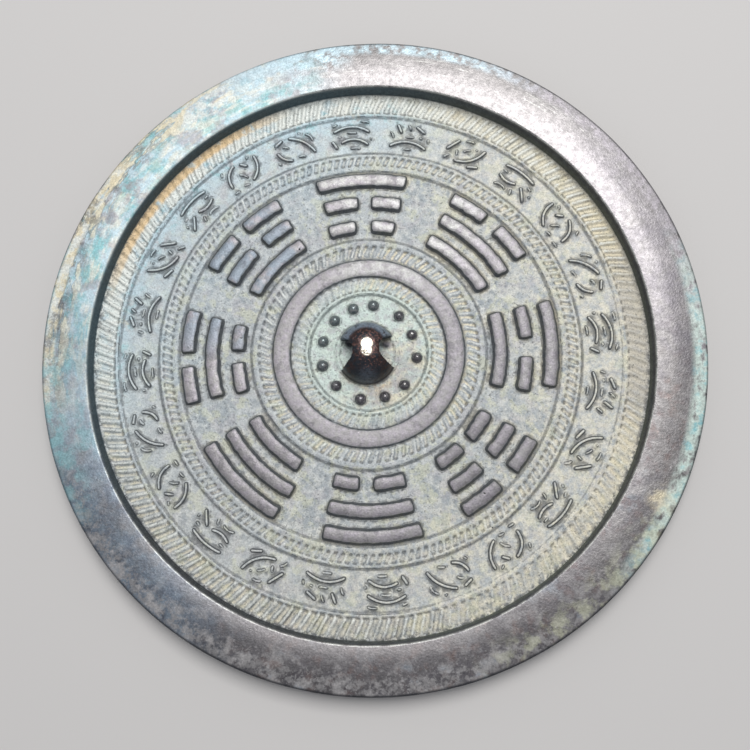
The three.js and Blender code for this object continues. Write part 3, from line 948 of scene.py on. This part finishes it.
def knobColour(ground):
    paint = ground.grain(1.1, 3, 12).rising(0.44, 0.56).over("umber", "charcoal")
    ruddy = ground.spot(95, 1.2, 3.6, 1.0) * ground.grain(0.6, 2, 37).rising(0.5, 0.62)
    paint = (ruddy * 0.8).over(paint, "copper")
    # painted shade: the knob's lower side, away from the lamp, darker
    paintedLowerShade = ground.spot(270, 6, 3.4, 1.0)
    paint = (paintedLowerShade * 0.7).over(paint, "charcoal")
    specks = ground.spot(285, 2.6, 2.6, 1.2) * ground.grain(0.5, 2, 46).rising(0.55, 0.64)
    paint = (specks * 0.9).over(paint, "copper")
    cap = (1 - ground.spot(120, 0.5, 4.3, 0.5)) * ground.y.rising(0.8, 2.4)
    greyed = cap.either(ground.spot(270, 7, 2.0, 1.4) * 0.4)
    paint = (greyed * ground.grain(0.9, 3, 34).rising(0.3, 0.5) * 0.85).over(paint, "slate")
    return ground.speckled(paint, 0.4, 1.6), greyed


def wallPatinaAndShade(ground):
    # the rim's inner wall, dark all round: partly dark patina, partly painted shade in the recess; teal at
    # the upper left, olive low on the right
    wall = ground.grain(1.1, 3, 18).rising(0.4, 0.7).over("charcoal", "wall")
    wall = (ground.sector(140, 60, 30) * 0.5).over(wall, "teal")
    wall = (ground.sector(350, 75, 30) * ground.z.rising(5.0, 2.6) * 0.75).over(wall, "moss")
    return ground.speckled(wall, 0.5, 1.4)


def shellPaint(ground):
    # rim, wall and reflecting face. Every paint gives a colour and three masks: how much bare metal
    # shows, how much smoother the grain is and how much less rough the surface.
    low = disc["field"]
    onTop = ground.radius.rising(64.05, 64.4) * ground.z.rising(5.0, 5.6)
    onWall = ground.radius.rising(64.6, 64.3) * ground.z.rising(low + 0.25, low + 0.75)
    onWall = onWall * ground.z.rising(5.7, 5.4)
    edge = ground.reach.rising(74.2, 74.8)
    below = ground.z.rising(0.5, 0.2)
    colour, bare = rimColour(ground)
    # the inner wall gets its dark paint: patina and painted shade
    colour = onWall.over(colour, wallPatinaAndShade(ground))
    # painted shade: the rim's outer side darkened all round, most along the bottom, where its shadow falls
    paintedEdgeShade = edge * (1 - below) * (0.45 + 0.45 * ground.sector(285, 65, 30))
    colour = paintedEdgeShade.over(colour, "charcoal")
    face = ground.grain(12, 4, 13).rising(0.42, 0.62).over("brightMetal", "tarnish")
    face = (ground.grain(8, 4, 14).rising(0.58, 0.7) * 0.7).over(face, "turquoise")
    colour = below.over(colour, face)
    smooth = onTop.either(below)
    return colour, (onTop * bare).either(below * 0.9), smooth, 0


def reliefPaint(ground):
    # field, bars, rings, bosses and knob
    low = disc["field"]
    sunk, fineSunk = ground.attribute("sunk"), ground.attribute("fineSunk")
    facing = ground.wire.node("NewGeometry", {}, {}, "Normal")
    up = ground.wire.node("SeparateXYZ", {}, {0: facing}, "Z")
    steep = up.rising(0.95, 0.74)
    onBars = ground.ring(27.5, 44.6) * ground.z.rising(low + 0.55, low + 0.85)
    hoop = ground.ring(17.2, 23.0) * ground.z.rising(low + 0.45, low + 0.7)
    onKnob = ground.radius.rising(7.9, 7.6) * ground.z.rising(low + 0.3, low + 0.6)
    bosses = ground.ring(9.3, 12.9) * ground.z.rising(low + 0.25, low + 0.55)
    hem = ground.radius.rising(63.7, 64.0) * ground.z.rising(low + 0.25, low + 0.75)
    # painted highlight: near-white paint on the knob's top where the lamp's reflection sits; the same patch
    # is also made smoother and glossier
    burnishAndHighlight = ground.spot(100, 0.7, 1.25, 0.35).either(ground.spot(262, 0.9, 1.15, 0.35))
    burnishAndHighlight = burnishAndHighlight * onKnob * up.rising(0.86, 0.95)

    colour = fieldColour(ground, sunk, fineSunk, steep)
    colour = (onBars.either(hoop) * (1 - steep)).over(colour, barColour(ground))
    bossPaint = ground.sector(135, 60, 30).over("tarnish", "bossMetal")
    bossPaint = (ground.grain(0.8, 2, 47).rising(0.5, 0.62) * 0.5).over(bossPaint, "dust")
    colour = (bosses * 0.9).over(colour, bossPaint)
    knobPaint, greyed = knobColour(ground)
    # the knob's paint, with the painted highlight on its top
    colour = onKnob.over(colour, burnishAndHighlight.over(knobPaint, "knobHighlight"))
    # the soft corner at the wall's foot gets the wall's dark paint: patina and painted shade
    colour = hem.over(colour, wallPatinaAndShade(ground))
    smooth = (onBars * 0.4).either(hoop * 0.2).either(onKnob * 0.5)
    smooth = smooth.either(burnishAndHighlight).either(bosses * 0.5)
    gloss = onKnob * 0.14 + burnishAndHighlight * 0.2 + bosses * 0.27
    return colour, smooth - onKnob * greyed * 0.5, smooth, gloss


def castBronze(name, paint):
    material = bpy.data.materials.new(name)
    material.use_nodes = True
    tree = material.node_tree
    shader = tree.nodes["Principled BSDF"]
    ground = Ground(tree)
    colour, bareMetal, smooth, gloss = paint(ground)
    roughness = bareMetal.blend(0.55, 0.42) + ground.grain(1.2, 2, 15) * 0.24 - 0.12 - gloss
    rough = ground.grain(0.45, 2, 16) + ground.grain(1.6, 2, 17) * 0.8
    height = rough * (1 - smooth * 0.5)
    bump = ground.wire.node("Bump", {}, {"Height": height, "Distance": patina["fieldGrain"], "Strength": 1.0},
                            "Normal")
    values = {
        "Base Color": colour,
        "Metallic": bareMetal.blend(0.08, 0.9),
        "Roughness": roughness,
        "Normal": bump,
    }
    for socket, value in values.items():
        tree.links.new(value.socket, shader.inputs[socket])
    shader.inputs["Specular IOR Level"].default_value = 0.5
    return material


finishes = castBronze("fieldPatina", reliefPaint), castBronze("rimPatina", shellPaint)
for slot, finish in enumerate(finishes):
    mirror.data.materials[slot] = finish
print("mirror: painted")


# Camera where the photograph was taken, worked out from the rings' ellipses. Degrees and mm.
view = {
    "bearing": -78.04,        # of the camera from the mirror's middle
    "tilt": 10.3,             # off square
    "distance": 181.0,
    "aimRight": -7.34,        # picture points by which the middle sits off centre
    "aimUp": 26.52,
    "focal": 800.0,           # in picture points, of a picture 750 wide
    "picture": 750.0,
    "rimPlane": 5.9,
}


def makeCamera():
    bearing, tilt = math.radians(view["bearing"]), math.radians(view["tilt"])
    back = Vector((math.sin(tilt) * math.cos(bearing), math.sin(tilt) * math.sin(bearing), math.cos(tilt)))
    right = Vector((0, 1, 0)).cross(back).normalized()
    up = back.cross(right)
    perPoint = view["distance"] / view["focal"]
    place = back * view["distance"] - right * view["aimRight"] * perPoint - up * view["aimUp"] * perPoint
    place.z += view["rimPlane"]
    freshStart()
    bpy.ops.object.camera_add(location=place * millimetre)
    camera = bpy.context.object
    camera.matrix_world = Matrix((right, up, back)).transposed().to_4x4()
    camera.matrix_world.translation = place * millimetre
    camera.data.sensor_width = 36
    camera.data.lens = 36 * view["focal"] / view["picture"]
    camera.data.clip_start = 0.01
    bpy.context.scene.camera = camera


# Pale floor and one soft light. Degrees, metres and watts; colours are linear.
studio = {
    "floor": (0.62, 0.60, 0.58, 1),
    "floorRoughness": 0.9,
    "floorSize": 3,
    "floorDrop": 0.0001,
    "bearing": 76,
    "height": 66,
    "distance": 0.85,
    "width": 0.46,
    "depth": 0.5,
    "power": 5.6,
    "sky": (0.9, 0.93, 1.0, 1),
    "skyStrength": 0.36,
}


def makeFloor():
    freshStart()
    bpy.ops.mesh.primitive_plane_add(size=studio["floorSize"], location=(0, 0, -studio["floorDrop"]))
    floor = bpy.context.object
    floor.name = "floor"
    paint = bpy.data.materials.new("floorPaint")
    paint.use_nodes = True
    shader = paint.node_tree.nodes["Principled BSDF"]
    shader.inputs["Base Color"].default_value = studio["floor"]
    shader.inputs["Roughness"].default_value = studio["floorRoughness"]
    floor.data.materials.append(paint)


def makeLights():
    bearing, height = math.radians(studio["bearing"]), math.radians(studio["height"])
    flat = Vector((math.cos(bearing), math.sin(bearing), 0))
    towards = flat * math.cos(height) + Vector((0, 0, math.sin(height)))
    freshStart()
    bpy.ops.object.light_add(type="AREA", location=towards * studio["distance"])
    lamp = bpy.context.object
    lamp.rotation_euler = towards.to_track_quat("Z", "Y").to_euler()
    lamp.data.shape = "RECTANGLE"
    lamp.data.size = studio["width"]
    lamp.data.size_y = studio["depth"]
    lamp.data.energy = studio["power"]
    world = bpy.data.worlds.new("studio")
    bpy.context.scene.world = world
    world.use_nodes = True
    background = world.node_tree.nodes["Background"]
    background.inputs["Color"].default_value = studio["sky"]
    background.inputs["Strength"].default_value = studio["skyStrength"]


makeCamera()
makeFloor()
makeLights()
print("scene: camera, floor and light set")
bpy.context.scene.view_settings.view_transform = "Standard"
